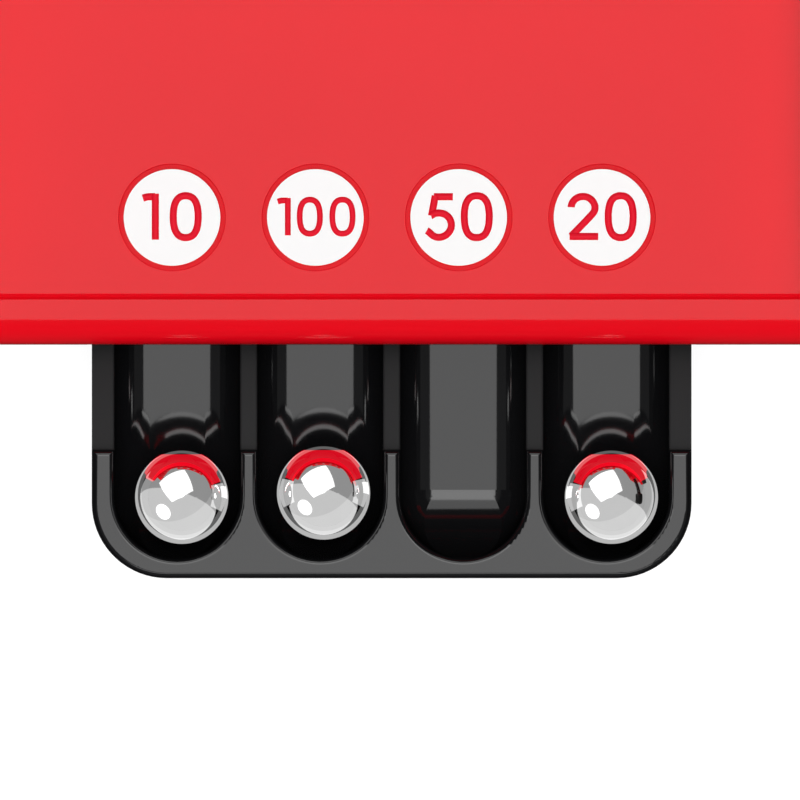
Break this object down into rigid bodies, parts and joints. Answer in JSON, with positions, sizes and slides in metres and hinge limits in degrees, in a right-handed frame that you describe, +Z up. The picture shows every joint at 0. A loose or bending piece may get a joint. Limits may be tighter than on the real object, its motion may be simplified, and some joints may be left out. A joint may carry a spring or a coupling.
{
  "type": "bagatelle board game",
  "caption": "Tabletop bagatelle: sloping red board with number discs, pins, gates and spring plunger, and a black tray whose round-ended lanes hold steel balls.",
  "frame": {"origin": "on the table, under the middle of the game's bounding box", "axes": "+X to the player's right, +Y away from the player, +Z up; the board slopes up towards +Y by 5.5 degrees"},
  "size_m": [0.125, 0.253, 0.0527],
  "materials": {
    "red_plastic": "glossy moulded plastic",
    "black_plastic": "high gloss moulded plastic",
    "bright_steel": "bright zinc plated",
    "ball_steel": "mirror polished",
    "white_label": "smooth printed vinyl",
    "black_rubber": "matt moulded rubber",
    "spring_wire": "drawn spring wire"
  },
  "bodies": {
    "case": {"base_shell": "black_plastic", "front_lip": "red_plastic", "playfield": "red_plastic", "rail_frame": "red_plastic", "lane_fence": "red_plastic", "arch_rail": "bright_steel", "tray_guide_left": "black_plastic", "tray_guide_right": "black_plastic", "score_disc_10": "white_label", "score_disc_100": "white_label", "score_disc_50": "white_label", "score_disc_20": "white_label", "gate_bridge": "red_plastic", "guide_wall_left": "red_plastic", "guide_wall_right": "red_plastic", "playfield_pins": "bright_steel", "plunger_housing": "red_plastic", "plunger_spring": "spring_wire", "gate_bracket": "black_plastic", "gate_pin": "bright_steel", "front_feet": "black_rubber", "stand_pin": "bright_steel", "case_screws": "bright_steel"},
    "tray": {"ball_tray": "black_plastic"},
    "ball_in_10": {"ball_10": "ball_steel"},
    "ball_in_100": {"ball_100": "ball_steel"},
    "ball_in_20": {"ball_20": "ball_steel"},
    "plunger": {"plunger_rod": "bright_steel", "plunger_knob": "black_plastic", "plunger_washer": "bright_steel", "plunger_tip": "black_rubber"},
    "flap": {"gate_flap": "bright_steel"},
    "stand": {"rear_stand": "black_plastic", "stand_shoes": "black_rubber"}
  },
  "joints": [
    {"name": "tray_slide", "type": "slide", "parent": "case", "child": "tray", "axis": [0, -0.9954, -0.0958], "range_m": [-0.0115, 0]},
    {"name": "ball_10_roll", "type": "slide", "parent": "tray", "child": "ball_in_10", "axis": [0, 0.9954, 0.0958], "range_m": [0, 0.0121]},
    {"name": "ball_100_roll", "type": "slide", "parent": "tray", "child": "ball_in_100", "axis": [0, 0.9954, 0.0958], "range_m": [-0.0005, 0.0116]},
    {"name": "ball_20_roll", "type": "slide", "parent": "tray", "child": "ball_in_20", "axis": [0, 0.9954, 0.0958], "range_m": [0, 0.0121]},
    {"name": "plunger_pull", "type": "slide", "parent": "case", "child": "plunger", "axis": [0, -0.9954, -0.0958], "range_m": [0, 0.02], "stiffness_N_per_m": 120, "springref_m": -0.01, "deforming": ["plunger_spring"]},
    {"name": "flap_swing", "type": "hinge", "parent": "case", "child": "flap", "pos_m": [0.05, 0.04301, 0.04808], "axis": [1, 0, 0], "range_deg": [0, 75]},
    {"name": "stand_fold", "type": "hinge", "parent": "case", "child": "stand", "pos_m": [0, 0.09701, 0.01943], "axis": [-1, 0, 0], "range_deg": [0, 90]}
  ]
}
